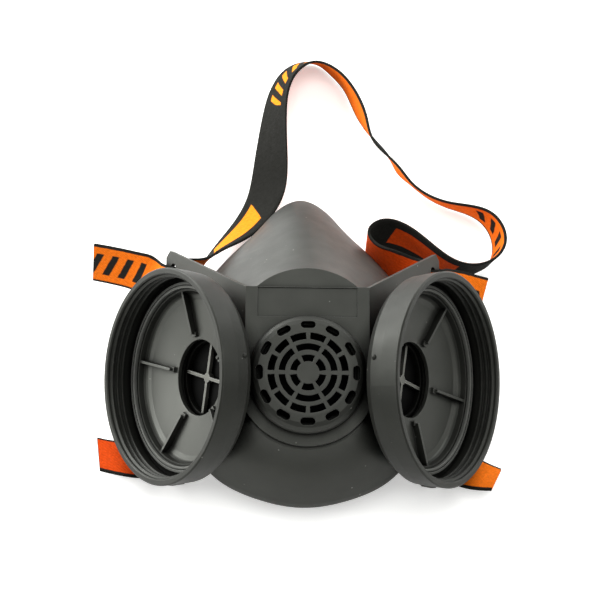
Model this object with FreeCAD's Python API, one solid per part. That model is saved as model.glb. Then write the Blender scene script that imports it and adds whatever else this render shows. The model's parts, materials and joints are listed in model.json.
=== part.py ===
import FreeCAD, Part
import math
import os
from FreeCAD import Placement, Rotation, Vector

# Half-mask respirator, in millimetres. It lies on its face seal, front up.
# World frame: +Z up, the seal lip on z = 0, the chin towards -Y, the nose towards +Y.
# The origin lies on the seal plane, in the mid-plane, in the middle of the lip at the chin.
# Shapes are drawn with y = 0 under the exhalation valve, and moved by VALVE_FROM_CHIN when saved.
# Plate frame: origin at the valve centre on the front plate, x across, u up towards the nose,
# w out of the plate. Cup frame: origin at the middle of the cup's rim, z out of the mouth.

# --- driving dimensions -------------------------------------------------------------------
VALVE_HEIGHT = 60.0        # valve centre above the seal plane
VALVE_FROM_CHIN = 23.0     # valve centre from the middle of the lip at the chin
PLATE_TILT = 20.0          # the plate leans back from the chin by this angle
GAP = 0.1                  # clearance between pieces that touch

WALL = 2.6                 # facepiece wall
LIP_THICKNESS = 2.4
LIP_WIDTH = 13.0           # how far the seal lip turns inwards

CREASE_X = 25.5            # half width of the flat front plate
PLATE_TOP = 37.0
PLATE_BOTTOM_RADIUS = 28.8
PLATE_THICKNESS = 2.0
CREASE_DROP = 1.2          # the side panels start this far below the plate's front
PANEL_YAW = 54.8           # side panels and cups face outwards by this angle
RECESS = (41.0, 12.0, 0.5)  # name recess: width, height, depth

CUP_CENTRE = Vector(60.1, 0.8, -10.5)   # plate frame
CUP_PITCH = 4.4            # cup mouths also look towards the chin a little
CUP_RIM_RADIUS = 44.9
CUP_MOUTH_RADIUS = 42.1
THREAD_RADIUS = 41.2       # at the crests of the mouth's thread
THREAD_CRESTS = (-2.4, -4.9, -7.4)
CUP_WALL_DEPTH = 13.0
CUP_BACK = -21.0
CUP_FLOOR = -19.4          # at the neck; the floor is dished
DISH_EDGE = (32.6, -16.6)  # where the dished floor meets the wall: radius, height
LEDGE = -12.2              # shelf that carries the gasket
RING_INNER = 36.2
RING_OUTER = 39.6
NECK_RADIUS = 19.0
NECK_BORE = 16.0           # at the floor
NECK_INSIDE = 17.2         # behind the floor
NECK_END = -33.0
LEFT_CUP_SPIN = 0.0
RIGHT_CUP_SPIN = -169.0    # both cups are one moulding, put in at different turns
SPIDER_SPIN = -18.0        # one valve arm lines up with a rib
PANEL_HOLE = 24.8

STRAP_WIDTH = 20.0
STRAP_THICKNESS = 1.5
SLOT_LENGTH = 22.4
SLOT_WIDTH = 4.4
UPPER_SLOT = (55.0, 45.5)  # in the side panel: back from the crease, up the panel
LOWER_SLOT = (52.0, -26.5)

COVER_RADIUS = 24.0
COVER_HEIGHT = 8.0
BOSS_RADIUS = 21.9

# --- frames -------------------------------------------------------------------------------
X = Vector(1, 0, 0)
Y = Vector(0, 1, 0)
Z = Vector(0, 0, 1)
PLATE_FRAME = Placement(Vector(0, 0, VALVE_HEIGHT), Rotation(X, PLATE_TILT))


def cup_frame(side, spin=0.0):
    """Places a shape drawn in the cup frame; side is +1 for right and -1 for left."""
    turn = Rotation(Y, side * PANEL_YAW).multiply(Rotation(X, CUP_PITCH)).multiply(Rotation(Z, spin))
    centre = Vector(side * CUP_CENTRE.x, CUP_CENTRE.y, CUP_CENTRE.z)
    return PLATE_FRAME.multiply(Placement(centre, turn))


def panel_frame():
    """Right side panel: x runs back from the crease, y up the panel, z out of its face."""
    turn = Rotation(Y, PANEL_YAW)
    return PLATE_FRAME.multiply(Placement(Vector(CREASE_X, 0, -CREASE_DROP), turn))


def placed(shape, frame):
    result = shape.copy()
    result.transformShape(frame.toMatrix())
    return result


def mirrored(shape):
    return shape.mirror(Vector(0, 0, 0), X)


def one_solid(shape):
    """The single solid of a boolean result, without its leftover seams."""
    solids = shape.removeSplitter().Solids
    return max(solids, key=lambda solid: solid.Volume)


def save(name, shape):
    moved = shape.copy()
    moved.translate(Y * VALVE_FROM_CHIN)
    moved.exportStep("parts/" + name + ".step")


# --- basic forms --------------------------------------------------------------------------
def disc(radius, low, high, x=0.0, y=0.0):
    return Part.makeCylinder(radius, high - low, Vector(x, y, low))


def ring(outer, inner, low, high):
    return disc(outer, low, high).cut(disc(inner, low - 1, high + 1))


def bar(length, width, low, high, start=0.0):
    """A box along +x from `start`, centred on the x axis."""
    return Part.makeBox(length, width, high - low, Vector(start, -width / 2, low))


def spun(shape, degrees):
    result = shape.copy()
    result.rotate(Vector(0, 0, 0), Z, degrees)
    return result


def revolved(profile):
    """Solid of revolution about z from (radius, height) points; straight edges."""
    points = [Vector(radius, 0, height) for radius, height in profile]
    face = Part.Face(Part.makePolygon(points + points[:1]))
    return face.revolve(Vector(0, 0, 0), Z, 360)


def obround(length, width, low, high):
    """Slot form with round ends, long axis along y."""
    half = (length - width) / 2
    body = Part.makeBox(width, 2 * half, high - low, Vector(-width / 2, -half, low))
    return body.fuse([disc(width / 2, low, high, 0, half), disc(width / 2, low, high, 0, -half)])


def sector_window(inner, outer, low, high, start, end):
    """Part of a flat ring between two angles, as a cutter."""
    a = math.radians(start)
    b = math.radians(end)
    m = (a + b) / 2
    at = lambda radius, angle: Vector(radius * math.cos(angle), radius * math.sin(angle), low)
    edges = [
        Part.Arc(at(outer, a), at(outer, m), at(outer, b)).toShape(),
        Part.LineSegment(at(outer, b), at(inner, b)).toShape(),
        Part.Arc(at(inner, b), at(inner, m), at(inner, a)).toShape(),
        Part.LineSegment(at(inner, a), at(outer, a)).toShape(),
    ]
    return Part.Face(Part.Wire(edges)).extrude(Vector(0, 0, high - low))


# --- facepiece ----------------------------------------------------------------------------
# Half of the widest outline, at GIRTH_HEIGHT above the table, from the chin round to the nose.
GIRTH_HEIGHT = 16.0
GIRTH = [(0, -38), (19, -34.5), (39, -23), (49, -5), (55.5, 25), (51, 55),
         (39.8, 76.6), (29.4, 90), (19.8, 101), (9.5, 113.5), (0, 118)]
OUTLINE_CENTRE = Vector(0, 40, 0)
FOOT_TUCK = 8.5            # the wall runs in by this much from its girth down to the lip
WALL_STEEPNESS = 9.0       # how far the wall rises above a straight line to the front


def full_outline(half):
    """Closes a half outline by mirroring it about the mid-plane."""
    other = [Vector(-p.x, p.y, p.z) for p in half[-2:0:-1]]
    return half + other


def closed_curve(points):
    curve = Part.BSplineCurve()
    curve.interpolate(points, PeriodicFlag=True)
    return Part.Wire([curve.toShape()])


def directions():
    """Unit vectors from the outline's centre to each girth point, in plan."""
    rays = [Vector(x, y, 0) - OUTLINE_CENTRE for x, y in GIRTH]
    return [ray.normalize() for ray in rays]


def front_outline(inset):
    """The flat front face: a small arc round the valve and a larger one above it."""
    bottom_radius = 30.0 - inset
    top_radius = 32.0 - inset
    depth = -PLATE_THICKNESS - GAP - inset
    points = []
    for ray in directions():
        if ray.y < 0:
            local = Vector(bottom_radius * ray.x, bottom_radius * ray.y, depth)
        else:
            local = Vector(top_radius * ray.x, 13.3 + top_radius * ray.y, depth)
        points.append(PLATE_FRAME.multVec(local))
    return points


def face_form(inset, floor):
    """Closed body of the facepiece, shrunk by `inset`, standing on the level `floor`."""
    rays = directions()
    girth = [Vector(x, y, GIRTH_HEIGHT) - ray * inset for (x, y), ray in zip(GIRTH, rays)]
    front = front_outline(inset)
    levels = []
    for share in (0.0, 0.35, 0.7, 1.0):
        tuck = FOOT_TUCK * (1 - share) ** 1.25
        down = (GIRTH_HEIGHT - floor) * (1 - share)
        levels.append([p - ray * tuck - Z * down for p, ray in zip(girth, rays)])
    for t in (0.25, 0.5, 0.75, 1.0):
        level = []
        for low, high, ray in zip(girth, front, rays):
            steep = WALL_STEEPNESS * (1.0 - 0.45 * max(ray.y, 0))
            level.append(low * (1 - t) + high * t + Z * steep * 4 * t * (1 - t) * (1 - t))
        levels.append(level)
    wires = [closed_curve(full_outline(half)) for half in levels]
    return Part.makeLoft(wires, True, True)


def beyond_panels(depth):
    """Everything outside both side panels' planes, moved inwards by `depth`."""
    block = Part.makeBox(200, 300, 80, Vector(-60, -150, -depth))
    right = placed(block, panel_frame())
    return right.fuse(mirrored(right))


def facepiece():
    outer = face_form(0.0, 0.0).cut(beyond_panels(PLATE_THICKNESS + GAP))
    inner = face_form(WALL, LIP_THICKNESS).cut(beyond_panels(PLATE_THICKNESS + GAP + WALL))
    rays = directions()
    rim = [Vector(x, y, -1) - ray * (FOOT_TUCK + LIP_WIDTH) for (x, y), ray in zip(GIRTH, rays)]
    opening = Part.Face(closed_curve(full_outline(rim))).extrude(Vector(0, 0, LIP_THICKNESS + 3))
    collars = []
    bores = []
    for side in (-1, 1):
        frame = cup_frame(side)
        collars.append(placed(disc(24.2, NECK_END + 3.0, CUP_BACK - GAP), frame))
        bores.append(placed(disc(NECK_RADIUS + GAP, NECK_END - 8, CUP_BACK + 4), frame))
    port = placed(disc(16.0, -12, 4), PLATE_FRAME)
    shell = outer.cut(inner).fuse(collars)
    return one_solid(shell.cut([opening, port] + bores))


# --- front plate --------------------------------------------------------------------------
def plate_centre():
    """Flat front: straight top and sides, round bottom, valve hole, boss and name recess."""
    side_low = -math.sqrt(PLATE_BOTTOM_RADIUS ** 2 - CREASE_X ** 2)
    corners = [Vector(CREASE_X, side_low, 0), Vector(CREASE_X, PLATE_TOP, 0),
               Vector(-CREASE_X, PLATE_TOP, 0), Vector(-CREASE_X, side_low, 0)]
    arc = Part.Arc(corners[3], Vector(0, -PLATE_BOTTOM_RADIUS, 0), corners[0]).toShape()
    outline = Part.Wire(Part.makePolygon(corners).Edges + [arc])
    plate = Part.Face(outline).extrude(Vector(0, 0, -PLATE_THICKNESS))
    boss = ring(BOSS_RADIUS, BOSS_RADIUS - 1.6, -PLATE_THICKNESS, 3.0)
    width, height, depth = RECESS
    recess = Part.makeBox(width, height, depth + 1, Vector(-width / 2, PLATE_TOP - height - 0.4, -depth))
    return plate.cut(disc(19.2, -5, 5)).fuse(boss).cut(recess)


def slot_cutter(place):
    cutter = obround(SLOT_LENGTH, SLOT_WIDTH, -8, 8)
    cutter.translate(Vector(place[0], place[1], 0))
    return cutter


def side_panel():
    """Right panel behind the cup, with one wing towards the nose and one towards the chin."""
    outline = [(-0.4, -13), (-0.4, PLATE_TOP), (57.5, 63.0), (60.5, 60.5), (60.5, 33), (59, 22),
               (59, -12), (58, -38), (55, -40.5), (46, -40.5)]
    points = [Vector(x, y, 0) for x, y in outline]
    face = Part.Face(Part.makePolygon(points + points[:1]))
    panel = face.extrude(Vector(0, 0, -PLATE_THICKNESS))
    panel = panel.cut([slot_cutter(UPPER_SLOT), slot_cutter(LOWER_SLOT)])
    hole = placed(disc(PANEL_HOLE, CUP_BACK - 8, CUP_BACK + 4), cup_frame(1))
    return placed(panel, panel_frame()).cut(hole)


def front_plate():
    centre = placed(plate_centre(), PLATE_FRAME)
    right = side_panel()
    return one_solid(centre.fuse([right, mirrored(right)]))


# --- exhalation valve ---------------------------------------------------------------------
def exhalation_valve_seat():
    flange = ring(19.0, 13.2, -PLATE_THICKNESS, 0.6)
    skirt = ring(15.8, 13.2, -7.0, -PLATE_THICKNESS)
    barb = revolved([(15.0, -7.0), (15.8, -7.0), (16.6, -6.4), (15.8, -5.4), (15.0, -5.4)])
    arms = [spun(bar(14.0, 1.6, -1.4, 0.6), 45 + 90 * k) for k in range(4)]
    hub = disc(3.0, -1.4, 0.6)
    seat = flange.fuse([skirt, barb, hub] + arms).cut(disc(1.5, -9, 9))
    return placed(one_solid(seat), PLATE_FRAME)


def exhalation_flap():
    dish = revolved([(0, 0.7), (14.9, 0.7), (14.9, 1.2), (3.0, 1.6), (0, 1.9)])
    stem = disc(1.2, -4.4, 0.8)
    bulb = revolved([(0, -5.6), (1.0, -5.4), (2.0, -4.2), (2.0, -3.4), (1.2, -3.0), (0, -3.0)])
    return placed(one_solid(dish.fuse([stem, bulb])), PLATE_FRAME)


def cover_windows():
    """The open cells of the grille: three rings of sectors and twelve slots near the rim."""
    spoke = 1.65
    rings = [(4.6, 7.3, 6), (9.3, 11.9, 6), (13.6, 16.4, 12)]
    cutters = []
    for inner, outer, count in rings:
        step = 360.0 / count
        margin = math.degrees(spoke / (inner + outer))
        for k in range(count):
            start = k * step + margin
            cutters.append(sector_window(inner, outer, 3.0, 12.0, start, start + step - 2 * margin))
    for k in range(12):
        slot = obround(6.0, 3.0, 3.4, 12.0)
        slot.translate(Vector(19.7, 0, 0))
        cutters.append(spun(slot, 30.0 * k))
    return cutters


def exhalation_cover():
    top = COVER_HEIGHT
    outer = revolved([(0, GAP), (COVER_RADIUS, GAP), (COVER_RADIUS, 3.6), (23.4, 5.4), (22.2, 6.8),
                      (20.4, 7.7), (17.4, top), (0, top)])
    hollow = revolved([(0, -1), (BOSS_RADIUS + GAP, -1), (BOSS_RADIUS + GAP, 3.4), (21.6, 5.0),
                       (20.0, 5.9), (0, 6.2)])
    return placed(one_solid(outer.cut([hollow] + cover_windows())), PLATE_FRAME)


# --- filter cups --------------------------------------------------------------------------
def cup_body():
    """Turned form of one cup: threaded mouth, gasket shelf, dished floor, neck."""
    thread = []
    for crest in THREAD_CRESTS:
        thread += [(CUP_MOUTH_RADIUS, crest + 0.8), (THREAD_RADIUS, crest + 0.25),
                   (THREAD_RADIUS, crest - 0.25), (CUP_MOUTH_RADIUS, crest - 0.8)]
    inside = [(CUP_MOUTH_RADIUS + 0.5, 0), (CUP_MOUTH_RADIUS, -0.5)] + thread
    inside += [(CUP_MOUTH_RADIUS, LEDGE), (RING_INNER - 0.2, LEDGE), (35.6, -14.6), (34.6, -15.9),
               DISH_EDGE, (NECK_BORE, CUP_FLOOR), (NECK_BORE, CUP_BACK), (NECK_INSIDE, CUP_BACK - 1.2),
               (NECK_INSIDE, NECK_END)]
    outside = [(NECK_RADIUS, NECK_END), (NECK_RADIUS, CUP_BACK), (25.0, CUP_BACK), (31.0, -20.0),
               (37.5, -17.8), (41.6, -15.8), (43.6, -CUP_WALL_DEPTH), (44.3, -8.0),
               (CUP_RIM_RADIUS, -0.6), (CUP_RIM_RADIUS - 0.6, 0)]
    return revolved(inside + outside)


def cup_ribs():
    """Five thin webs that fall from the gasket shelf to the neck, one pointing up the cup."""
    start = 18.2
    end = RING_INNER + 0.6
    side = [Vector(start, 0, CUP_FLOOR + 3.2), Vector(end, 0, LEDGE - 0.1),
            Vector(end, 0, DISH_EDGE[1] - 0.9), Vector(start, 0, CUP_FLOOR - 0.6)]
    web = Part.Face(Part.makePolygon(side + side[:1])).extrude(Vector(0, 1.1, 0))
    web.translate(Vector(0, -0.55, 0))
    foot = bar(2.0, 2.4, CUP_FLOOR - 0.6, CUP_FLOOR + 1.8, 17.2)
    return [spun(web.fuse(foot), 90 + 72 * k) for k in range(5)]


def filter_cup(side, spin):
    inner_shelf = RING_INNER + 0.7
    body = cup_body().fuse([rib.cut(ring(60, inner_shelf, -30, 5)) for rib in cup_ribs()])
    pip = Part.makeSphere(1.1, Vector(-side * 43.6, 3.0, -11.5))
    return placed(one_solid(body.fuse(spun(pip, -spin))), cup_frame(side, spin))


def cup_gasket(side):
    seal = ring(RING_OUTER, RING_INNER + 0.9, LEDGE + GAP, LEDGE + GAP + 1.5)
    groove = ring(RING_OUTER - 1.0, RING_OUTER - 1.6, LEDGE + 1.1, 0)
    return placed(seal.cut(groove), cup_frame(side))


def inhalation_valve_seat(side, spin):
    """Ring with a four-arm spider; its centre pin holds the flap behind it."""
    body = ring(NECK_INSIDE - GAP, 15.2, -25.4, -23.2)
    arms = [spun(bar(15.6, 1.3, -24.8, -23.2), SPIDER_SPIN + 90 * k) for k in range(4)]
    hub = disc(2.0, -25.4, -23.2)
    pin = disc(1.3, -28.2, -25.4)
    button = revolved([(0, -29.4), (1.6, -29.2), (2.5, -28.6), (2.5, -28.0), (0, -28.0)])
    return placed(one_solid(body.fuse(arms + [hub, pin, button])), cup_frame(side, spin))


def inhalation_flap(side):
    return placed(ring(16.3, 1.5, -26.1, -25.5), cup_frame(side))


def lock_ring(side):
    """Clamps the facepiece wall behind the cup; six finger notches."""
    body = ring(25.6, NECK_RADIUS + GAP, NECK_END + GAP, NECK_END + 3.0 - GAP)
    notches = [spun(disc(2.2, -40, -20, 26.4, 0), 60 * k) for k in range(6)]
    return placed(one_solid(body.cut(notches)), cup_frame(side))


# --- straps -------------------------------------------------------------------------------
def smooth_curve(points, places):
    curve = Part.BSplineCurve()
    curve.interpolate(Points=points, Parameters=places)
    return curve


def ribbon(stations, samples):
    """Webbing through stations of (centre, direction of its width)."""
    half = STRAP_WIDTH / 2
    places = [0.0]
    for (here, _), (following, _) in zip(stations, stations[1:]):
        places.append(places[-1] + here.distanceToPoint(following))
    upper = smooth_curve([centre + across * half for centre, across in stations], places)
    lower = smooth_curve([centre - across * half for centre, across in stations], places)
    wires = []
    for k in range(samples + 1):
        place = places[-1] * k / samples
        top = upper.value(place)
        bottom = lower.value(place)
        along = upper.tangent(place)[0] + lower.tangent(place)[0]
        across = (top - bottom).normalize() * half
        face = across.cross(along).normalize() * (STRAP_THICKNESS / 2)
        middle = (top + bottom) * 0.5
        corners = [across + face, across - face, face * -1 - across, face - across]
        corners = [middle + corner for corner in corners]
        wires.append(Part.makePolygon(corners + corners[:1]))
    return Part.makeLoft(wires, True, True)


def lean(x, y, z):
    return Vector(x, y, z).normalize()


def panel_point(back, up, out):
    return panel_frame().multVec(Vector(back, up, out))


def panel_up():
    return PLATE_FRAME.Rotation.multVec(Y)


def mirrored_station(station):
    centre, across = station
    return Vector(-centre.x, centre.y, centre.z), Vector(-across.x, across.y, across.z)


def slot_stations(slot, exit_height):
    """Webbing coming from behind the right panel and out through a slot."""
    up = panel_up()
    back, height = slot
    path = [(-2.2, -4.0), (-0.6, -2.0), (0.2, -0.2), (2.6, exit_height), (6.5, exit_height + 0.3)]
    return [(panel_point(back + along, height, out), up) for along, out in path]


def head_strap():
    """One band: left wing, round the far end of its loop, then the right wing."""
    end = (panel_point(UPPER_SLOT[0] - 4.6, UPPER_SLOT[1], -6.0), panel_up())
    stations = [
        mirrored_station(end),
        (Vector(-50.5, 70, 25), lean(0.0, 0.30, 0.95)),
        (Vector(-44.5, 81, 18.5), lean(0.10, -0.35, 0.93)),
        (Vector(-38.5, 91, 13.5), lean(0.25, -0.50, 0.83)),
        (Vector(-31, 101.5, 9.3), lean(0.36, -0.66, 0.66)),
        (Vector(-23.9, 111.8, 6.3), lean(0.52, -0.69, 0.51)),
        (Vector(-18.2, 123, 5.1), lean(0.69, -0.58, 0.42)),
        (Vector(-14.6, 137, 4.3), lean(0.81, -0.48, 0.34)),
        (Vector(-13.2, 155, 6.3), lean(0.72, -0.41, 0.56)),
        (Vector(-11.8, 175, 7.5), lean(0.54, -0.51, 0.67)),
        (Vector(-7.8, 194.5, 7.8), lean(0.35, -0.62, 0.70)),
        (Vector(-1, 204.3, 8.0), lean(0.17, -0.67, 0.72)),
        (Vector(7.4, 207, 8.7), lean(0.0, -0.61, 0.79)),
        (Vector(16.2, 201.6, 9.3), lean(0.07, -0.53, 0.85)),
        (Vector(23.3, 192.3, 9.3), lean(0.11, -0.52, 0.85)),
        (Vector(30.5, 173.1, 9.0), lean(0.13, -0.56, 0.82)),
        (Vector(36, 159, 8.9), lean(-0.12, -0.59, 0.80)),
        (Vector(44.1, 147.1, 9.0), lean(-0.07, -0.57, 0.82)),
        (Vector(47.8, 140.1, 9.3), lean(-0.02, -0.52, 0.85)),
        (Vector(52, 134.6, 9.1), lean(-0.07, -0.55, 0.83)),
        (Vector(60.4, 126.4, 9.2), lean(-0.10, -0.52, 0.84)),
        (Vector(69, 121.7, 9.5), lean(-0.08, -0.48, 0.87)),
        (Vector(78.3, 118.8, 9.9), lean(-0.01, -0.42, 0.91)),
        (Vector(86.5, 114.6, 10.1), lean(0.10, -0.36, 0.93)),
        (Vector(91.2, 107.5, 9.9), lean(0.17, -0.38, 0.91)),
        (Vector(92.2, 99.5, 9.7), lean(0.15, -0.44, 0.88)),
        (Vector(88.2, 90.3, 9.7), lean(-0.02, -0.45, 0.89)),
        (Vector(79.5, 85.5, 10.0), lean(-0.12, -0.36, 0.92)),
        (Vector(71.5, 84.6, 10.6), lean(-0.14, -0.15, 0.98)),
        (Vector(63.9, 88.6, 10.9), lean(-0.12, -0.02, 0.99)),
        (Vector(52.5, 99.2, 10.9), lean(-0.08, 0.03, 0.99)),
        (Vector(44.5, 104, 10.9), lean(-0.06, 0.04, 0.99)),
        (Vector(36.5, 104.2, 10.9), lean(-0.03, 0.05, 0.99)),
        (Vector(31, 99.5, 10.9), lean(0.0, 0.03, 0.99)),
        (Vector(32.8, 91.5, 12.3), lean(-0.02, 0.06, 0.99)),
        (Vector(41, 83.5, 16.5), lean(-0.05, 0.25, 0.97)),
        (Vector(50, 77.5, 21), lean(0.0, 0.60, 0.80)),
        end,
    ]
    return ribbon(stations, 100)


def upper_tail(side):
    """Free end that comes forward through the upper slot and points outwards."""
    stations = slot_stations(UPPER_SLOT, 2.2)
    if side > 0:
        stations.append((Vector(72, 63.5, 23.5), lean(0.10, 0.90, 0.40)))
        stations.append((Vector(81, 68, 17), lean(0.25, 0.85, 0.42)))
        return ribbon(stations, 20)
    stations.append((Vector(78, 68, 25.5), lean(0.0, 0.87, 0.48)))
    stations.append((Vector(95, 78, 20.5), lean(-0.05, 0.80, 0.53)))
    return ribbon([mirrored_station(station) for station in stations], 20)


def lower_tail(side):
    """Free end of the neck strap, lying on the table beside the cup."""
    stations = slot_stations(LOWER_SLOT, 1.0)
    if side > 0:
        stations.append((Vector(72, -15, 4.5), lean(0.20, 0.90, -0.25)))
        stations.append((Vector(83, -20, 6.8), lean(0.34, 0.76, -0.55)))
        return ribbon(stations, 20)
    stations.append((Vector(73, -10, 3.6), lean(0.10, 0.97, -0.15)))
    stations.append((Vector(87.5, -8.5, 4.6), lean(0.13, 0.94, -0.30)))
    return ribbon([mirrored_station(station) for station in stations], 20)


# --- hand over ----------------------------------------------------------------------------
os.makedirs("parts", exist_ok=True)
save("facepiece", facepiece())
save("front_plate", front_plate())
save("exhalation_valve_seat", exhalation_valve_seat())
save("exhalation_flap", exhalation_flap())
save("exhalation_cover", exhalation_cover())
for side, word, spin in ((-1, "left", LEFT_CUP_SPIN), (1, "right", RIGHT_CUP_SPIN)):
    save(word + "_filter_cup", filter_cup(side, spin))
    save(word + "_cup_gasket", cup_gasket(side))
    save(word + "_inhalation_valve_seat", inhalation_valve_seat(side, spin))
    save(word + "_inhalation_flap", inhalation_flap(side))
    save(word + "_lock_ring", lock_ring(side))
    save(word + "_head_strap_tail", upper_tail(side))
    save(word + "_neck_strap_end", lower_tail(side))
save("head_strap", head_strap())
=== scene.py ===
"""Looks of the half-mask respirator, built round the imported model. Metres, +Z up, chin towards -Y."""
import bmesh
import bpy
import json
import math
import numpy as np
from mathutils import Matrix, Vector


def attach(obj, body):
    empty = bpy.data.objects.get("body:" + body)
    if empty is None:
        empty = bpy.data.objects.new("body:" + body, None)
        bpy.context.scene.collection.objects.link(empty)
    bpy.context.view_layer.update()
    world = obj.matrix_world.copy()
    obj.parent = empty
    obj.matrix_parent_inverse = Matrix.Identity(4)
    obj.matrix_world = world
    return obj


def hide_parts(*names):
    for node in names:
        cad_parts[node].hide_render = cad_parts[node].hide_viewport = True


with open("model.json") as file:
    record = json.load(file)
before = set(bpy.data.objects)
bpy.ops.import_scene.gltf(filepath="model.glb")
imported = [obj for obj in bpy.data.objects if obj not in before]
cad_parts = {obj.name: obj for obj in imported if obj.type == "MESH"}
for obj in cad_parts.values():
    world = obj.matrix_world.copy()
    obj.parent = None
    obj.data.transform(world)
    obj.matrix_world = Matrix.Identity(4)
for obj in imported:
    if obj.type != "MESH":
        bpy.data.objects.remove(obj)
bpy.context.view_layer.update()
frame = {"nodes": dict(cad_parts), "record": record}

MM = 0.001
UP = Vector((0, 0, 1))

# --- the object's own frames ----------------------------------------------------------------
VALVE_HEIGHT = 60 * MM
VALVE_FROM_CHIN = 23 * MM
PLATE_TILT = math.radians(20)
PANEL_YAW = math.radians(54.8)
CUP_PITCH = math.radians(4.4)
CUP_CENTRE = Vector((60.1, 0.8, -10.5)) * MM
CREASE = Vector((25.5, 0, -1.2)) * MM
PLATE_THICKNESS = 2.1 * MM

PLATE_FRAME = Matrix.Translation((0, VALVE_FROM_CHIN, VALVE_HEIGHT)) @ Matrix.Rotation(PLATE_TILT, 4, "X")
PANEL_FRAME = PLATE_FRAME @ Matrix.Translation(CREASE) @ Matrix.Rotation(PANEL_YAW, 4, "Y")


def cup_frame(side):
    """Origin at the middle of a cup's rim, z out of its mouth; side is +1 right, -1 left."""
    centre = Matrix.Translation((side * CUP_CENTRE.x, CUP_CENTRE.y, CUP_CENTRE.z))
    turn = Matrix.Rotation(side * PANEL_YAW, 4, "Y") @ Matrix.Rotation(CUP_PITCH, 4, "X")
    return PLATE_FRAME @ centre @ turn


# --- mesh helpers ---------------------------------------------------------------------------
def add_object(name, mesh, materials):
    """Puts a mesh into the scene with its materials."""
    for material in materials:
        mesh.materials.append(material)
    piece = bpy.data.objects.new(name, mesh)
    bpy.context.collection.objects.link(piece)
    return piece


def mesh_from(name, vertices, faces):
    """Smooth-shaded mesh from points and the faces between them."""
    mesh = bpy.data.meshes.new(name)
    mesh.from_pydata([tuple(v) for v in vertices], [], faces)
    mesh.validate()
    mesh.polygons.foreach_set("use_smooth", [True] * len(mesh.polygons))
    mesh.update()
    return mesh


def fix_normals(mesh):
    """Turns every face outwards."""
    cleaned = bmesh.new()
    cleaned.from_mesh(mesh)
    bmesh.ops.recalc_face_normals(cleaned, faces=cleaned.faces)
    cleaned.to_mesh(mesh)
    cleaned.free()


def sharpen(mesh, degrees):
    """Smooth shading with crisp edges where two faces meet at more than the angle."""
    limit = math.radians(degrees)
    cleaned = bmesh.new()
    cleaned.from_mesh(mesh)
    for edge in cleaned.edges:
        edge.smooth = len(edge.link_faces) == 2 and edge.calc_face_angle(0) < limit
    cleaned.to_mesh(mesh)
    cleaned.free()


def cut(piece, cutter):
    """Removes the cutter's volume from a piece, then deletes the cutter."""
    modifier = piece.modifiers.new("cut", "BOOLEAN")
    modifier.operation = "DIFFERENCE"
    modifier.solver = "EXACT"
    modifier.object = cutter
    bpy.context.view_layer.update()
    evaluated = piece.evaluated_get(bpy.context.evaluated_depsgraph_get())
    result = bpy.data.meshes.new_from_object(evaluated)
    piece.modifiers.remove(modifier)
    piece.data = result
    bpy.data.objects.remove(cutter)


def cylinder(radius, low, high, place, segments=96):
    """Round cutter along z of `place`, from z = low to z = high."""
    ring = [(math.cos(a), math.sin(a)) for a in np.linspace(0, 2 * math.pi, segments, endpoint=False)]
    points = [place @ Vector((radius * x, radius * y, z)) for z in (low, high) for x, y in ring]
    faces = [(k, (k + 1) % segments, segments + (k + 1) % segments, segments + k) for k in range(segments)]
    faces += [tuple(range(segments))[::-1], tuple(range(segments, 2 * segments))]
    return add_object("cutter", mesh_from("cutter", points, faces), [])


def periodic_spline(points, places, count):
    """Smooth closed curve through points at increasing places (the last place closes it)."""
    points = np.array(points, float)
    n = len(points)
    h = np.diff(places)
    matrix = np.zeros((n, n))
    right = np.zeros((n, points.shape[1]))
    for k in range(n):
        before = h[k - 1]
        after = h[k]
        matrix[k, k - 1] += before
        matrix[k, k] += 2 * (before + after)
        matrix[k, (k + 1) % n] += after
        rise = (points[(k + 1) % n] - points[k]) / after
        fall = (points[k] - points[k - 1]) / before
        right[k] = 6 * (rise - fall)
    bend = np.linalg.solve(matrix, right)
    where = np.linspace(0, places[-1], count, endpoint=False)
    segment = np.clip(np.searchsorted(places, where, side="right") - 1, 0, n - 1)
    a = (where - np.array(places)[segment])[:, None]
    width = h[segment][:, None]
    start = points[segment]
    stop = points[(segment + 1) % n]
    m0 = bend[segment]
    m1 = bend[(segment + 1) % n]
    slope = (stop - start) / width - width * (2 * m0 + m1) / 6
    return start + slope * a + m0 / 2 * a ** 2 + (m1 - m0) / (6 * width) * a ** 3


def open_spline(points, places, where):
    """Natural cubic spline through points, read at `where`."""
    points = np.array(points, float)
    n = len(points)
    h = np.diff(places)
    matrix = np.eye(n)
    right = np.zeros((n, points.shape[1]))
    for k in range(1, n - 1):
        matrix[k, k - 1:k + 2] = (h[k - 1], 2 * (h[k - 1] + h[k]), h[k])
        right[k] = 6 * ((points[k + 1] - points[k]) / h[k] - (points[k] - points[k - 1]) / h[k - 1])
    bend = np.linalg.solve(matrix, right)
    segment = np.clip(np.searchsorted(places, where, side="right") - 1, 0, n - 2)
    a = (where - np.array(places)[segment])[:, None]
    width = h[segment][:, None]
    slope = (points[segment + 1] - points[segment]) / width
    slope -= width * (2 * bend[segment] + bend[segment + 1]) / 6
    rest = bend[segment] / 2 * a ** 2 + (bend[segment + 1] - bend[segment]) / (6 * width) * a ** 3
    return points[segment] + slope * a + rest


# --- materials ------------------------------------------------------------------------------
ORANGE = (0.88, 0.180, 0.008)
AMBER = (0.85, 0.260, 0.012)
# Orange webbing painted as if in shade: the head strap's far part and the left neck strap end.
ORANGE_IN_SHADE = (0.70, 0.070, 0.005)
INK = (0.014, 0.014, 0.012)
DUST = (0.34, 0.34, 0.31)
SHEEN = (0.97, 1.0, 0.90, 1.0)


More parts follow.
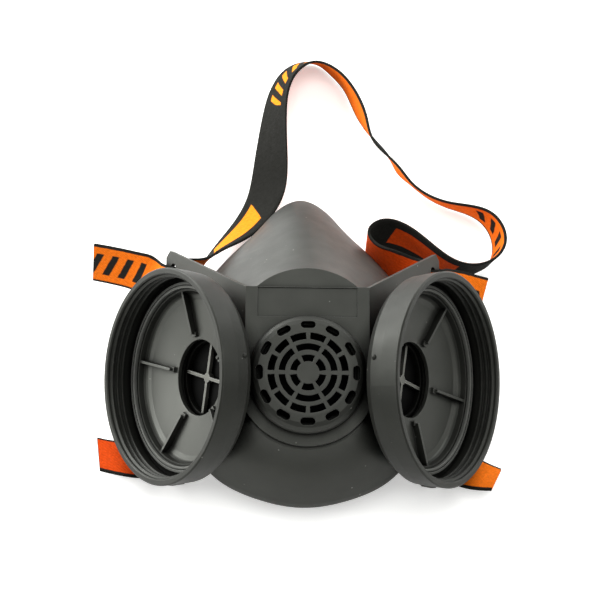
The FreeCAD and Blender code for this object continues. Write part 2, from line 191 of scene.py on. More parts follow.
class Shader:
    """Small builder for one node material. Noise scales are in waves per metre."""

    MIX_A = 6
    MIX_B = 7

    def __init__(self, name):
        self.material = bpy.data.materials.new(name)
        self.material.use_nodes = True
        self.tree = self.material.node_tree
        self.surface = self.tree.nodes["Principled BSDF"]

    def node(self, kind, **settings):
        """A new node, with its properties set."""
        made = self.tree.nodes.new("ShaderNode" + kind)
        for key, value in settings.items():
            setattr(made, key, value)
        return made

    def feed(self, socket, value):
        """Links an output into a socket, or sets the socket to a plain value."""
        if isinstance(value, bpy.types.NodeSocket):
            self.tree.links.new(value, socket)
        else:
            socket.default_value = value

    def math(self, operation, a, b=0.0):
        made = self.node("Math", operation=operation)
        self.feed(made.inputs[0], a)
        self.feed(made.inputs[1], b)
        return made.outputs[0]

    def mix(self, amount, a, b):
        """From colour a to colour b by the amount."""
        made = self.node("Mix", data_type="RGBA")
        self.feed(made.inputs[0], amount)
        for index, colour in ((self.MIX_A, a), (self.MIX_B, b)):
            linked = isinstance(colour, bpy.types.NodeSocket)
            self.feed(made.inputs[index], colour if linked else (*colour, 1.0))
        return made.outputs[2]

    def scaled(self, colour, factor):
        """A colour times a plain factor."""
        made = self.node("VectorMath", operation="SCALE")
        self.feed(made.inputs[0], colour)
        self.feed(made.inputs["Scale"], factor)
        return made.outputs[0]

    def place(self, kind="Object"):
        """Texture coordinates."""
        return self.node("TexCoord").outputs[kind]

    def noise(self, scale, detail):
        made = self.node("TexNoise")
        self.feed(made.inputs["Vector"], self.place())
        made.inputs["Scale"].default_value = scale
        made.inputs["Detail"].default_value = detail
        return made.outputs["Fac"]

    def ramp(self, value, low, high, start=0.0, end=1.0):
        """Runs from start to end while the value runs from low to high."""
        made = self.node("MapRange", clamp=True)
        for socket, setting in zip(made.inputs, (value, low, high, start, end)):
            self.feed(socket, setting)
        return made.outputs[0]

    def specks(self, scale, size):
        """1 inside small round spots scattered over the surface."""
        made = self.node("TexVoronoi")
        self.feed(made.inputs["Vector"], self.place())
        made.inputs["Scale"].default_value = scale
        return self.ramp(made.outputs["Distance"], size, size * 0.55)

    def bump(self, height, depth, strength, rounding=0.0):
        """Surface relief; `rounding` also softens the edges' highlights."""
        made = self.node("Bump")
        if rounding:
            soft = self.node("Bevel", samples=6)
            soft.inputs["Radius"].default_value = rounding
            self.feed(made.inputs["Normal"], soft.outputs[0])
        made.inputs["Distance"].default_value = depth
        made.inputs["Strength"].default_value = strength
        self.feed(made.inputs["Height"], height)
        self.feed(self.surface.inputs["Normal"], made.outputs[0])

    def occlusion_shade(self, reach):
        """1 on open surfaces, falling towards 0 deep inside holes and corners; it darkens them as painted
        shade.
        """
        made = self.node("AmbientOcclusion", samples=8)
        made.inputs["Distance"].default_value = reach
        return made.outputs["AO"]

    def edges(self, radius):
        """1 along convex and concave edges, from the difference to a rounded normal."""
        rounded = self.node("Bevel", samples=4)
        rounded.inputs["Radius"].default_value = radius
        product = self.node("VectorMath", operation="DOT_PRODUCT")
        self.feed(product.inputs[0], rounded.outputs[0])
        self.feed(product.inputs[1], self.node("NewGeometry").outputs["Normal"])
        return self.ramp(product.outputs["Value"], 0.995, 0.86)

    def within(self, centre, radius):
        """1 inside a ball round the centre."""
        away = self.node("VectorMath", operation="DISTANCE")
        self.feed(away.inputs[0], self.place())
        away.inputs[1].default_value = centre
        return self.ramp(away.outputs["Value"], radius + 0.2 * MM, radius)


def clouded(s, colour):
    """The colour in soft, slightly darker and lighter clouds."""
    dark = tuple(c * 0.90 for c in colour)
    light = tuple(min(c * 1.12, 1.0) for c in colour)
    return s.mix(s.ramp(s.noise(55, 4), 0.35, 0.65), dark, light)


def scuffed_and_highlit(s, tone, colour, wear_and_highlight):
    """Patches along the edges in a lighter tone, partly rubbed and partly a painted highlight."""
    patches = s.ramp(s.noise(260, 5), 0.42, 0.62, 0.3, wear_and_highlight)
    rubbed_and_highlit_edges = s.math("MULTIPLY", s.edges(0.5 * MM), patches)
    return s.mix(rubbed_and_highlit_edges, tone, tuple(min(c * 3.5 + 0.03, 1.0) for c in colour))


def dust_spots(s, amount):
    """Scattered specks that gather in patches."""
    patches = s.ramp(s.noise(38, 2), 0.50, 0.62, 0.0, amount)
    return s.math("MULTIPLY", s.specks(210, 0.085), patches)


def moulded(name, colour, rough, grain, wear_and_highlight, dust, gloss=0.36, painted_zone=None):
    """Moulded rubber or plastic: clouded tone, grain, edges partly rubbed lighter and partly given a
    painted highlight, painted shade in cavities, some dust.

    The last argument is (centre, radius, tone, gloss) of painted light and shade: both are multiplied by
    these within the radius.
    """
    s = Shader(name)
    spots = dust_spots(s, dust)
    tone = s.mix(spots, scuffed_and_highlit(s, clouded(s, colour), colour, wear_and_highlight), DUST)
    # Painted shade: colour and gloss fall away deep in holes, grooves and corners.
    painted_cavity_shade = s.ramp(s.occlusion_shade(9 * MM), 0.30, 0.85, 0.10, 1.0)
    shine = s.math("MULTIPLY", painted_cavity_shade, gloss)
    # Painted light and shade inside the ball round the given centre.
    if painted_zone:
        centre, radius, painted_tone, painted_gloss = painted_zone
        inside = s.within(centre, radius)
        tone = s.mix(inside, tone, s.scaled(tone, painted_tone))
        shine = s.math("MULTIPLY", shine, s.ramp(inside, 0.0, 1.0, 1.0, painted_gloss))
    s.feed(s.surface.inputs["Base Color"], s.scaled(tone, painted_cavity_shade))
    s.feed(s.surface.inputs["Specular IOR Level"], shine)
    s.surface.inputs["Specular Tint"].default_value = SHEEN
    scuffs = s.ramp(s.noise(120, 6), 0.3, 0.7, rough - 0.03, rough + 0.04)
    s.feed(s.surface.inputs["Roughness"], s.math("ADD", scuffs, s.math("MULTIPLY", spots, 0.3)))
    fine = s.math("MULTIPLY", s.noise(2600, 2), grain)
    coarse = s.math("MULTIPLY", s.noise(150, 3), 0.15)
    s.bump(s.math("ADD", fine, coarse), 0.06 * MM, 0.5, 0.35 * MM)
    return s.material


RIB_PITCH = 0.9 * MM
PICK_PITCH = 1.15 * MM
SELVEDGE = 8.5 * MM


def woven(s, along, across):
    """Relief of the weave, from -1 to 1: ribs across the band crossed by picks along it."""
    rib = s.math("SINE", s.math("MULTIPLY", across, 2 * math.pi / RIB_PITCH))
    pick = s.math("SINE", s.math("MULTIPLY", along, 2 * math.pi / PICK_PITCH))
    return s.math("MULTIPLY", rib, pick)


def shaded(s, colour, weave):
    """The colour, darker between the threads and uneven with fuzz."""
    shade = s.ramp(weave, -1.0, 1.0, 0.68, 1.0)
    fuzz = s.ramp(s.noise(900, 4), 0.3, 0.7, 0.85, 1.12)
    return s.scaled(colour, s.math("MULTIPLY", shade, fuzz))


def webbing(name, ground, figure, motif, far=None):
    """Woven elastic: u runs along the band and v across it, both in metres.

    `far` is (start, end, ground, figure): the colours change to these between two places, painting the
    band's far part in shade.
    """
    s = Shader(name)
    split = s.node("SeparateXYZ")
    s.feed(split.inputs[0], s.place("UV"))
    along = split.outputs[0]
    across = split.outputs[1]
    wobble = s.math("MULTIPLY", s.math("SUBTRACT", s.noise(420, 2), 0.5), 0.5 * MM)
    u = s.math("ADD", along, wobble)
    v = s.math("ADD", across, wobble)
    if far:
        start, end, shaded_ground, shaded_figure = far
        share = s.ramp(u, start, end)
        ground = s.mix(share, ground, shaded_ground)
        figure = s.mix(share, figure, shaded_figure)
    edge = s.ramp(s.math("ABSOLUTE", v), SELVEDGE, SELVEDGE + 0.3 * MM)
    colour = s.mix(edge, s.mix(motif(s, u, v), ground, figure), INK)
    weave = woven(s, along, across)
    s.feed(s.surface.inputs["Base Color"], shaded(s, colour, weave))
    s.feed(s.surface.inputs["Roughness"], s.ramp(s.noise(700, 2), 0.3, 0.7, 0.72, 0.92))
    s.surface.inputs["Specular IOR Level"].default_value = 0.06
    s.bump(s.math("ADD", weave, s.math("MULTIPLY", s.noise(1500, 3), 0.8)), 0.10 * MM, 0.8)
    return s.material


def slanted(s, u, v):
    """Place along the band for a motif whose ends lean over."""
    return s.math("ADD", u, s.math("MULTIPLY", v, 0.45))


def band_reach(s, v, reach):
    """1 within the reach to each side of the band's middle."""
    return s.ramp(s.math("ABSOLUTE", v), reach, reach - 0.4 * MM)


def block(s, u, v, centre, length, width):
    """A plain solid stripe with slanted ends."""
    off = s.math("ABSOLUTE", s.math("SUBTRACT", slanted(s, u, v), centre))
    ends = s.ramp(off, length / 2 + 0.2 * MM, length / 2 - 0.2 * MM)
    return s.math("MULTIPLY", ends, band_reach(s, v, width / 2))


def bars(s, u, v, start, end, pitch, reach):
    """Slanted bars between two places along the band, `reach` to each side of its middle."""
    turn = s.math("FRACT", s.math("DIVIDE", slanted(s, u, v), pitch))
    stripe = s.ramp(s.math("ABSOLUTE", s.math("SUBTRACT", turn, 0.5)), 0.26, 0.20)
    band = band_reach(s, v, reach)
    inside = s.math("MULTIPLY", s.math("GREATER_THAN", u, start), s.math("LESS_THAN", u, end))
    return s.math("MULTIPLY", s.math("MULTIPLY", stripe, band), inside)


def outer_motif(s, u, v):
    """Blocks and bars on the dark outer face of the head strap."""
    first = block(s, u, v, 57 * MM, 36 * MM, 11 * MM)
    marks = bars(s, u, v, 138 * MM, 190 * MM, 8 * MM, 5.2 * MM)
    far = block(s, u, v, 365 * MM, 34 * MM, 11 * MM)
    return s.math("MAXIMUM", s.math("MAXIMUM", first, far), marks)


def inner_motif(s, u, v):
    """Bars on the orange inner face of the head strap."""
    return bars(s, u, v, 296 * MM, 350 * MM, 8 * MM, 5.2 * MM)


def left_tail_motif(s, u, v):
    return bars(s, u, v, 22 * MM, 70 * MM, 7.5 * MM, 5.6 * MM)


def right_tail_motif(s, u, v):
    return bars(s, u, v, 27 * MM, 44 * MM, 7.0 * MM, 3.4 * MM)


def no_motif(s, u, v):
    return s.math("MULTIPLY", u, 0.0)


# --- facepiece ------------------------------------------------------------------------------
# Right half of the widest outline, from the chin round to the nose, drawn with y = 0 under the valve.
GIRTH_HEIGHT = 16 * MM
GIRTH = np.array([(0, -38), (19, -34.5), (39, -23), (49, -5), (55.5, 25), (51, 55),
                  (39.8, 76.6), (29.4, 90), (19.8, 101), (9.5, 113.5), (0, 118)]) * MM
GIRTH[:, 1] += VALVE_FROM_CHIN
OUTLINE_CENTRE = np.array((0, 40 * MM + VALVE_FROM_CHIN))
FRONT_LOW_RADIUS = 30 * MM
FRONT_HIGH_RADIUS = 32 * MM
FRONT_HIGH_CENTRE = 13.3 * MM
WALL = 2.6 * MM
FOOT_TUCK = 8.5 * MM
FOOT_RINGS = 9
WALL_RINGS = 26
WALL_STEEPNESS = 9 * MM
NOSE_EASING = 0.45
LIP_WIDTH = 13 * MM
LIP_THICKNESS = 2.0 * MM
PANEL_SOFTNESS = 0.7 * MM
VALVE_PORT_RADIUS = 16.0 * MM
CUP_PORT_RADIUS = 19.15 * MM
AROUND = 240
UPWARDS = np.array([0, 0, 1])


def closed_half(half):
    """A half outline and its mirror image, from the chin round by the right."""
    mirror = half[-2:0:-1] * np.array([-1] + [1] * (half.shape[1] - 1))
    return np.vstack([half, mirror])


def face_outlines(inset):
    """Girth and front outline at AROUND matching points, with the direction outwards."""
    rays = GIRTH - OUTLINE_CENTRE
    rays /= np.linalg.norm(rays, axis=1)[:, None]
    girth = np.column_stack([GIRTH - rays * inset, np.full(len(GIRTH), GIRTH_HEIGHT)])
    front = []
    for x, y in rays:
        radius = (FRONT_LOW_RADIUS if y < 0 else FRONT_HIGH_RADIUS) - inset
        lift = 0 if y < 0 else FRONT_HIGH_CENTRE
        front.append(PLATE_FRAME @ Vector((radius * x, lift + radius * y, -PLATE_THICKNESS - inset)))
    closed = closed_half(GIRTH)
    steps = np.linalg.norm(np.roll(closed, -1, axis=0) - closed, axis=1)
    places = np.concatenate([[0], np.cumsum(steps)])
    curves = [periodic_spline(closed_half(half), places, AROUND) for half in (girth, np.array(front))]
    flat = np.column_stack([rays, np.zeros(len(rays))])
    out = periodic_spline(closed_half(flat), places, AROUND)
    out /= np.linalg.norm(out, axis=1)[:, None]
    return curves[0], curves[1], out


def wall_rings(inset, floor):
    """Rings of points from the lip's level up to the front edge."""
    girth, front, out = face_outlines(inset)
    rings = []
    for share in np.linspace(0, 1, FOOT_RINGS):
        drop = UPWARDS * (1 - share) * (GIRTH_HEIGHT - floor)
        rings.append(girth - out * FOOT_TUCK * (1 - share) ** 1.25 - drop)
    steep = WALL_STEEPNESS * (1 - NOSE_EASING * np.clip(out[:, 1:2], 0, None))
    for t in np.linspace(0, 1, WALL_RINGS)[1:]:
        swell = steep * 4 * t * (1 - t) ** 2
        rings.append(girth * (1 - t) + front * t + UPWARDS * swell)
    return rings


def filled_towards(middle, edge, shares):
    """Rings between a middle point and an edge ring, at shares of the way out."""
    return [middle + (edge - middle) * share for share in shares]


def lip_rings(foot, out):
    """The in-turned lip: along its underside, round its edge and back over its top."""
    rings = [foot - out * LIP_WIDTH * share for share in (0.3, 0.6, 0.85, 0.97)]
    rings.append(foot - out * LIP_WIDTH + UPWARDS * 0.45 * LIP_THICKNESS)
    top = foot + UPWARDS * 0.9 * LIP_THICKNESS
    return rings + [top - out * LIP_WIDTH * share for share in (0.97, 0.8, 0.55)]


def pressed_flat(points, depth):
    """Presses points beyond the side panels onto planes `depth` under the panels' faces."""
    for side in (-1, 1):
        normal = np.array(PANEL_FRAME.to_3x3() @ UP) * (side, 1, 1)
        start = np.array(PANEL_FRAME.translation) * (side, 1, 1)
        height = (points - start) @ normal + depth
        excess = PANEL_SOFTNESS * np.logaddexp(0, height / PANEL_SOFTNESS)
        points = points - normal * excess[:, None]
    return points


def ring_faces(count):
    """Quads between neighbouring rings of AROUND points, and a cap on the first and last ring."""
    faces = []
    for low in range(0, (count - 1) * AROUND, AROUND):
        for j in range(AROUND):
            after = (j + 1) % AROUND
            faces.append((low + j, low + AROUND + j, low + AROUND + after, low + after))
    last = (count - 1) * AROUND
    return faces + [tuple(range(AROUND)), tuple(range(last + AROUND - 1, last - 1, -1))]


def facepiece(materials):
    """Soft moulding: outer wall from the front to the foot, the lip, then the inner wall."""
    outer = wall_rings(0, 0.0)
    inner = wall_rings(WALL, LIP_THICKNESS)
    out = face_outlines(0)[2]
    outside = filled_towards(outer[-1].mean(axis=0), outer[-1], (0.02, 0.3, 0.6, 0.85, 0.97))
    outside += outer[::-1]
    lip = lip_rings(outer[0], out)
    inside = inner[1:]
    inside += filled_towards(inner[-1].mean(axis=0), inner[-1], (0.97, 0.8, 0.5, 0.2, 0.02))
    rings = [pressed_flat(points, PLATE_THICKNESS) for points in outside]
    rings += [pressed_flat(points, PLATE_THICKNESS) for points in lip[:5]]
    rings += [pressed_flat(points, PLATE_THICKNESS + WALL) for points in lip[5:] + inside]
    mesh = mesh_from("facepiece_rubber", np.vstack(rings), ring_faces(len(rings)))
    fix_normals(mesh)
    piece = add_object("facepiece_rubber", mesh, materials)
    cut(piece, cylinder(VALVE_PORT_RADIUS, -14 * MM, 6 * MM, PLATE_FRAME))
    for side in (-1, 1):
        cut(piece, cylinder(CUP_PORT_RADIUS, -45 * MM, -12 * MM, cup_frame(side)))
    sharpen(piece.data, 40)
    return piece


# --- straps ---------------------------------------------------------------------------------
STRAP_WIDTH = 20 * MM
STRAP_THICKNESS = 1.2 * MM
RIBBON_STEP = 1.2 * MM
SELVEDGE_START = 0.965
# Middles of a wing's strap slots in the panel's frame, in mm: back from the crease, and up.
UPPER_SLOT = (55.0, 45.5)
LOWER_SLOT = (52.0, -26.5)


def panel_point(back, up, out):
    """Place in the right panel's frame, given in mm."""
    return PANEL_FRAME @ (Vector((back, up, out)) * MM)


def station(x, y, z, across):
    """Centre of the band, drawn with y = 0 under the valve, and the direction across it."""
    return Vector((x * MM, y * MM + VALVE_FROM_CHIN, z * MM)), Vector(across).normalized()


def mirrored(stations):
    """The same stations on the left side."""
    return [(Vector((-p.x, p.y, p.z)), Vector((-a.x, a.y, a.z))) for p, a in stations]


def panel_up():
    """Direction up the right panel, along its strap slots."""
    return PANEL_FRAME.to_3x3() @ Vector((0, 1, 0))


def slot_stations(slot, exit_height, climb=0.0):
    """Band through a wing's slot; past it, the band climbs the panel by up to `climb`."""
    back, height = slot
    path = [(-2.2, 0, -4.0), (-0.6, 0, -2.0), (0.2, 0, -0.2)]
    path += [(2.6, 0.3, exit_height), (6.5, 1, exit_height + 0.3)]
    return [(panel_point(back + x, height + climb * rise, z), panel_up()) for x, rise, z in path]


def band_path(stations):
    """Middle line of the band at even steps, with the directions across it and off its face."""
    half = STRAP_WIDTH / 2
    centres = np.array([p for p, _ in stations])
    places = np.concatenate([[0], np.cumsum(np.linalg.norm(np.diff(centres, axis=0), axis=1))])
    where = np.linspace(0, places[-1], int(places[-1] / RIBBON_STEP) + 2)
    upper = open_spline([p + a * half for p, a in stations], places, where)
    lower = open_spline([p - a * half for p, a in stations], places, where)
    across = upper - lower
    across /= np.linalg.norm(across, axis=1)[:, None]
    middle = (upper + lower) / 2
    along = np.gradient(middle, axis=0)
    face = np.cross(across, along)
    face /= np.linalg.norm(face, axis=1)[:, None]
    return middle, across, face


def band_section():
    """Round the band's cross-section: (place across, place off the face), each from -1 to 1."""
    front = [(v, 1.0) for v in np.linspace(SELVEDGE_START, -SELVEDGE_START, 13)]
    return [(1.0, 0.0)] + front + [(-1.0, 0.0)] + [(-v, -h) for v, h in front]


def ribbon(name, stations, materials):
    """Webbing with rounded selvedges; u is the length along it and v the place across it."""
    half = STRAP_WIDTH / 2
    thick = STRAP_THICKNESS / 2
    middle, across, face = band_path(stations)
    section = band_section()
    count = len(section)
    vertices = []
    for c, a, f in zip(middle, across, face):
        vertices += [c + a * half * v + f * thick * h for v, h in section]
    last = (len(middle) - 1) * count
    faces = []
    for row in range(0, last, count):
        for j in range(count):
            after = (j + 1) % count
            faces.append((row + j, row + after, row + count + after, row + count + j))
    faces.append(tuple(range(count))[::-1])
    faces.append(tuple(range(last, last + count)))
    mesh = mesh_from(name, vertices, faces)
    piece = add_object(name, mesh, materials)
    layer = mesh.uv_layers.new(name="band")
    length = np.concatenate([[0], np.cumsum(np.linalg.norm(np.diff(middle, axis=0), axis=1))])
    for loop in mesh.loops:
        row, column = divmod(loop.vertex_index, count)
        layer.data[loop.index].uv = (length[row], section[column][0] * half)
    for polygon in mesh.polygons:
        columns = [v % count for v in polygon.vertices]
        polygon.material_index = 0 if max(columns) <= count // 2 else 1
    fix_normals(mesh)
    sharpen(mesh, 60)
    return piece


def head_strap_stations():
    """From the left wing's slot round the loops on the table to the right wing's slot."""
    end = (panel_point(UPPER_SLOT[0] - 4.6, UPPER_SLOT[1], -6.0), panel_up())
    return mirrored([end]) + [
        station(-50.5, 70, 25, (0, 0.3, 0.95)),
        station(-44.5, 81, 18.5, (0.1, -0.35, 0.93)),
        station(-38.5, 91, 13.5, (0.25, -0.5, 0.83)),
        station(-31, 101.5, 9.3, (0.36, -0.66, 0.66)),
        station(-23.9, 111.8, 6.3, (0.52, -0.69, 0.51)),
        station(-18.2, 123, 5.1, (0.69, -0.58, 0.42)),
        station(-14.6, 137, 4.3, (0.81, -0.48, 0.34)),
        station(-13.2, 155, 6.3, (0.72, -0.41, 0.56)),
        station(-11.8, 175, 7.5, (0.54, -0.51, 0.67)),
        station(-7.8, 194.5, 7.8, (0.35, -0.62, 0.7)),
        station(-1, 204.3, 8, (0.17, -0.67, 0.72)),
        station(7.4, 207, 8.7, (0, -0.61, 0.79)),
        station(16.2, 201.6, 9.3, (0.07, -0.53, 0.85)),
        station(23.3, 192.3, 9.3, (0.11, -0.52, 0.85)),
        station(30.5, 173.1, 9, (0.13, -0.56, 0.82)),
        station(36, 159, 8.9, (-0.12, -0.59, 0.8)),
        station(44.1, 147.1, 9, (-0.07, -0.57, 0.82)),
        station(47.8, 140.1, 9.3, (-0.02, -0.52, 0.85)),
        station(52, 134.6, 9.1, (-0.07, -0.55, 0.83)),
        station(60.4, 126.4, 9.2, (-0.1, -0.52, 0.84)),
        station(69, 121.7, 9.5, (-0.08, -0.48, 0.87)),
        station(78.3, 118.8, 9.9, (-0.01, -0.42, 0.91)),
        station(86.5, 114.6, 10.1, (0.1, -0.36, 0.93)),
        station(91.2, 107.5, 9.9, (0.17, -0.38, 0.91)),
        station(92.2, 99.5, 9.7, (0.15, -0.44, 0.88)),
        station(88.2, 90.3, 9.7, (-0.02, -0.45, 0.89)),
        station(79.5, 85.5, 10, (-0.12, -0.36, 0.92)),
        station(71.5, 84.6, 10.6, (-0.14, -0.15, 0.98)),
        station(63.9, 88.6, 10.9, (-0.12, -0.02, 0.99)),
        station(52.5, 98.0, 10.9, (-0.08, 0.14, 0.98)),
        station(44.5, 102.6, 10.9, (-0.06, 0.18, 0.98)),
        station(36.5, 103.2, 10.9, (-0.03, 0.15, 0.98)),
        station(31, 98.9, 10.9, (0, 0.08, 0.99)),
        station(32.8, 91.5, 12.3, (-0.02, 0.06, 0.99)),
        station(41, 83, 16, (-0.05, 0.2, 0.97)),
        station(49.5, 75.5, 18, (0.05, 0.5, 0.86)),
        station(54.5, 68.5, 23.5, (0.02, 0.75, 0.66)),
        end,
    ]


def upper_tail_stations(side):
    """Free tail of the head strap, out through the upper slot."""
    if side > 0:
        return slot_stations(UPPER_SLOT, 2.2, 1.5) + [
            station(71.3, 64.3, 22, (0.14, 0.90, 0.40)),
            station(81.1, 64.7, 17, (0.25, 0.85, 0.42)),
        ]
    return mirrored(slot_stations(UPPER_SLOT, 2.2, 3.0) + [
        station(70.2, 70.3, 25, (-0.04, 0.60, 0.80)),
        station(81.6, 76, 22, (-0.06, 0.42, 0.90)),
        station(93.4, 79.8, 20, (-0.06, 0.40, 0.91)),
    ])


def lower_tail_stations(side):
    """End of the neck strap, out through the lower slot and under the cup."""
    if side > 0:
        return slot_stations(LOWER_SLOT, 1.0) + [
            station(72, -15, 4.5, (0.20, 0.90, -0.25)),
            station(83, -20, 6.8, (0.34, 0.76, -0.55)),
        ]
    return mirrored(slot_stations(LOWER_SLOT, 1.0) + [
        station(73, -10, 3.6, (0.10, 0.97, -0.15)),
        station(87.5, -8.5, 4.6, (0.13, 0.94, -0.30)),
    ])


# --- materials of the pieces ----------------------------------------------------------------
CUP_FLOOR_DEPTH = 18 * MM
CUP_FLOOR_REACH = 35 * MM
HUB_DEPTH = 24 * MM
HUB_REACH = 14.8 * MM


def cup_material(side, word, glow):
    """Painted light: the cup's floor is painted lighter and glossier than its walls, the left floor
    glossier than the right.
    """
    middle = cup_frame(side) @ Vector((0, 0, -CUP_FLOOR_DEPTH))
    painted_zone = (middle, CUP_FLOOR_REACH, 1.5, glow)
    return moulded("cup_" + word, (0.013, 0.0135, 0.0117), 0.44, 0.5, 0.6, 0.3, 0.22, painted_zone)


def spider_material(side, word):
    """Painted shade: the ring deep in the cup's neck is painted dark as shade, and the spider in its
    middle ten times lighter.
    """
    middle = cup_frame(side) @ Vector((0, 0, -HUB_DEPTH))
    painted_zone = (middle, HUB_REACH, 10.0, 6.0)
    return moulded("spider_" + word, (0.008, 0.008, 0.007), 0.40, 0.4, 0.5, 0.2, 0.10, painted_zone)


rubber = moulded("face_rubber", (0.016, 0.0165, 0.0145), 0.45, 0.5, 0.4, 0.8)
plastic = moulded("shell_plastic", (0.015, 0.0155, 0.0135), 0.48, 0.9, 0.5, 0.5)
seal = moulded("seal_rubber", (0.085, 0.087, 0.080), 0.42, 0.4, 0.3, 0.2)
# Near-black, almost without gloss: the valve disc's own black rubber, and painted shade where it and the
# exhalation valve seat are seen through holes and windows.
flap_and_shade_black = moulded("flap_rubber", (0.003, 0.003, 0.003), 0.6, 0.3, 0.0, 0.0, 0.03)

# Further along, the head strap's amber and orange turn to the painted shade colour.
outer_face = webbing("webbing_black", INK, AMBER, outer_motif, (240 * MM, 260 * MM, INK, ORANGE_IN_SHADE))
inner_face = webbing("webbing_inner", ORANGE, INK, inner_motif, (385 * MM, 400 * MM, ORANGE_IN_SHADE, INK))
dark_face = webbing("webbing_tail_back", INK, AMBER, no_motif)
left_tail_face = webbing("webbing_left_tail", ORANGE, INK, left_tail_motif)
right_tail_face = webbing("webbing_right_tail", ORANGE, INK, right_tail_motif)
# The left neck strap end is painted in shade, the right one is not.
left_end_face = webbing("webbing_left_end", ORANGE_IN_SHADE, INK, no_motif)
right_end_face = webbing("webbing_right_end", ORANGE, INK, no_motif)

slot_materials = {
    "face_rubber": rubber, "plate_plastic": plastic, "cup_plastic": plastic,
    "gasket": seal, "flap_rubber": flap_and_shade_black, "webbing": dark_face,
}
own_materials = {
    # Painted shade: the exhalation valve seat behind the cover's windows is painted near-black.
    "exhalation_valve_seat": flap_and_shade_black,
    "left_filter_cup": cup_material(-1, "left", 2.7),
    "right_filter_cup": cup_material(1, "right", 2.0),
    "left_inhalation_valve_seat": spider_material(-1, "left"),
    "right_inhalation_valve_seat": spider_material(1, "right"),
}
slot_of = {entry["node"]: entry["material_slot"] for entry in frame["record"]["subparts"]}
for node, item in frame["nodes"].items():
    for place in item.material_slots:
        place.material = own_materials.get(node, slot_materials[slot_of[node]])


# --- pieces that take the place of packed ones ----------------------------------------------
def settle(piece, body, node):
    """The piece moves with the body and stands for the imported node."""
    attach(piece, body)
    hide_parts(node)


TAIL_FACES = {
    ("left", "head_strap_tail"): [left_tail_face, dark_face],
    ("right", "head_strap_tail"): [dark_face, right_tail_face],
    ("left", "neck_strap_end"): [left_end_face, dark_face],
    ("right", "neck_strap_end"): [dark_face, right_end_face],
}
settle(facepiece([rubber]), "frame", "facepiece")
loop_band = ribbon("head_strap_band", head_strap_stations(), [outer_face, inner_face])
settle(loop_band, "head_strap", "head_strap")
for side, word in ((-1, "left"), (1, "right")):
    for kind, stations in (("head_strap_tail", upper_tail_stations(side)),
                           ("neck_strap_end", lower_tail_stations(side))):
        tail = ribbon(word + "_" + kind + "_band", stations, TAIL_FACES[(word, kind)])
        settle(tail, "frame", word + "_" + kind)


# --- floor, light and camera ----------------------------------------------------------------
FLOOR_REACH = 3.0
FLOOR_GLOW = 0.42
SKY_LIGHT = 0.42
SKY_SEEN = 0.95
LIGHT_TARGET = Vector((0, 0.07, 0.03))


def floor():
    """Pale table top; its glow is seen by the camera only, so it lights nothing."""
    s = Shader("floor")
    clouds = s.ramp(s.noise(9, 3), 0.3, 0.7)
    tone = s.mix(clouds, (0.90, 0.90, 0.88), (0.93, 0.93, 0.91))
    s.feed(s.surface.inputs["Base Color"], tone)
    s.surface.inputs["Roughness"].default_value = 0.8
    s.surface.inputs["Emission Color"].default_value = (1, 1, 0.99, 1)
    seen = s.node("LightPath").outputs["Is Camera Ray"]
    s.feed(s.surface.inputs["Emission Strength"], s.math("MULTIPLY", seen, FLOOR_GLOW))
    r = FLOOR_REACH
    corners = [(-r, -r, 0), (r, -r, 0), (r, r, 0), (-r, r, 0)]
    add_object("floor", mesh_from("floor", corners, [(0, 1, 2, 3)]), [s.material])


def softbox(name, azimuth, elevation, distance, size, radiance):
    """Rectangular light aimed at the mask; azimuth is measured from +X towards +Y, in degrees."""
    turn = math.radians(azimuth)
    rise = math.radians(elevation)
    away = Vector((math.cos(turn) * math.cos(rise), math.sin(turn) * math.cos(rise), math.sin(rise)))
    light = bpy.data.lights.new(name, "AREA")
    light.shape = "RECTANGLE"
    light.size = size[0]
    light.size_y = size[1]
    light.energy = radiance * math.pi * size[0] * size[1]
    lamp = bpy.data.objects.new(name, light)
    lamp.location = LIGHT_TARGET + away * distance
    lamp.rotation_euler = (-away).to_track_quat("-Z", "Y").to_euler()
    bpy.context.collection.objects.link(lamp)


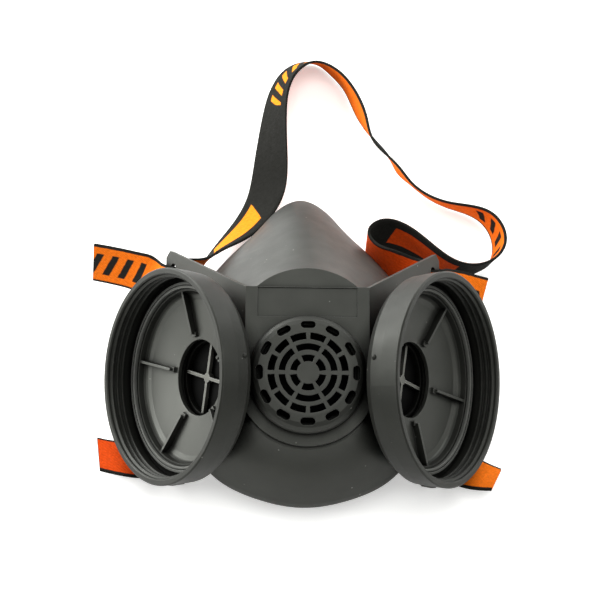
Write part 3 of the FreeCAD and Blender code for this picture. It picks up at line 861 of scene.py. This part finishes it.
def softboxes():
    """Each as name, azimuth, elevation, distance, (width, height) and radiance."""
    softbox("left_box", 165, 15, 1.2, (1.2, 0.55), 9.5)
    softbox("back_left_box", 130, 19, 1.25, (1.1, 0.6), 8.5)
    softbox("back_right_box", 55, 22, 1.25, (0.9, 0.6), 4.5)
    softbox("right_box", 0, 26, 1.3, (0.9, 0.6), 3.2)
    softbox("back_box", 90, 42, 1.3, (1.0, 0.7), 1.2)
    softbox("top_box", 270, 82, 1.3, (1.0, 0.8), 3.6)


def sky():
    """Even white surroundings, dimmer as a light than as a background."""
    world = bpy.data.worlds.new("studio")
    world.use_nodes = True
    tree = world.node_tree
    tree.nodes["Background"].inputs["Color"].default_value = (1, 1, 1, 1)
    path = tree.nodes.new("ShaderNodeLightPath")
    strength = tree.nodes.new("ShaderNodeMapRange")
    strength.inputs["To Min"].default_value = SKY_LIGHT
    strength.inputs["To Max"].default_value = SKY_SEEN
    tree.links.new(path.outputs["Is Camera Ray"], strength.inputs["Value"])
    tree.links.new(strength.outputs[0], tree.nodes["Background"].inputs["Strength"])
    bpy.context.scene.world = world


AZIMUTH = math.radians(-3.9)
ELEVATION = math.radians(58.0)
ROLL = math.radians(4.05)
AIM = Vector((-1.4, 77.9, 30.0)) * MM
DISTANCE = 754 * MM
LENS = 103.3
SENSOR = 36


def camera():
    """Looks down at AIM from above the chin, rolled about its own view direction."""
    level = math.cos(ELEVATION)
    back = Vector((math.sin(AZIMUTH) * level, -math.cos(AZIMUTH) * level, math.sin(ELEVATION)))
    right = UP.cross(back).normalized()
    upward = back.cross(right)
    rolled = right * math.cos(ROLL) + upward * math.sin(ROLL)
    turned = upward * math.cos(ROLL) - right * math.sin(ROLL)
    data = bpy.data.cameras.new("camera")
    data.lens = LENS
    data.sensor_width = SENSOR
    data.clip_start = 0.01
    eye = bpy.data.objects.new("camera", data)
    axes = Matrix((rolled, turned, back)).transposed()
    eye.matrix_world = Matrix.Translation(AIM + back * DISTANCE) @ axes.to_4x4()
    bpy.context.collection.objects.link(eye)
    bpy.context.scene.camera = eye


floor()
sky()
softboxes()
camera()
bpy.context.scene.view_settings.view_transform = "Standard"
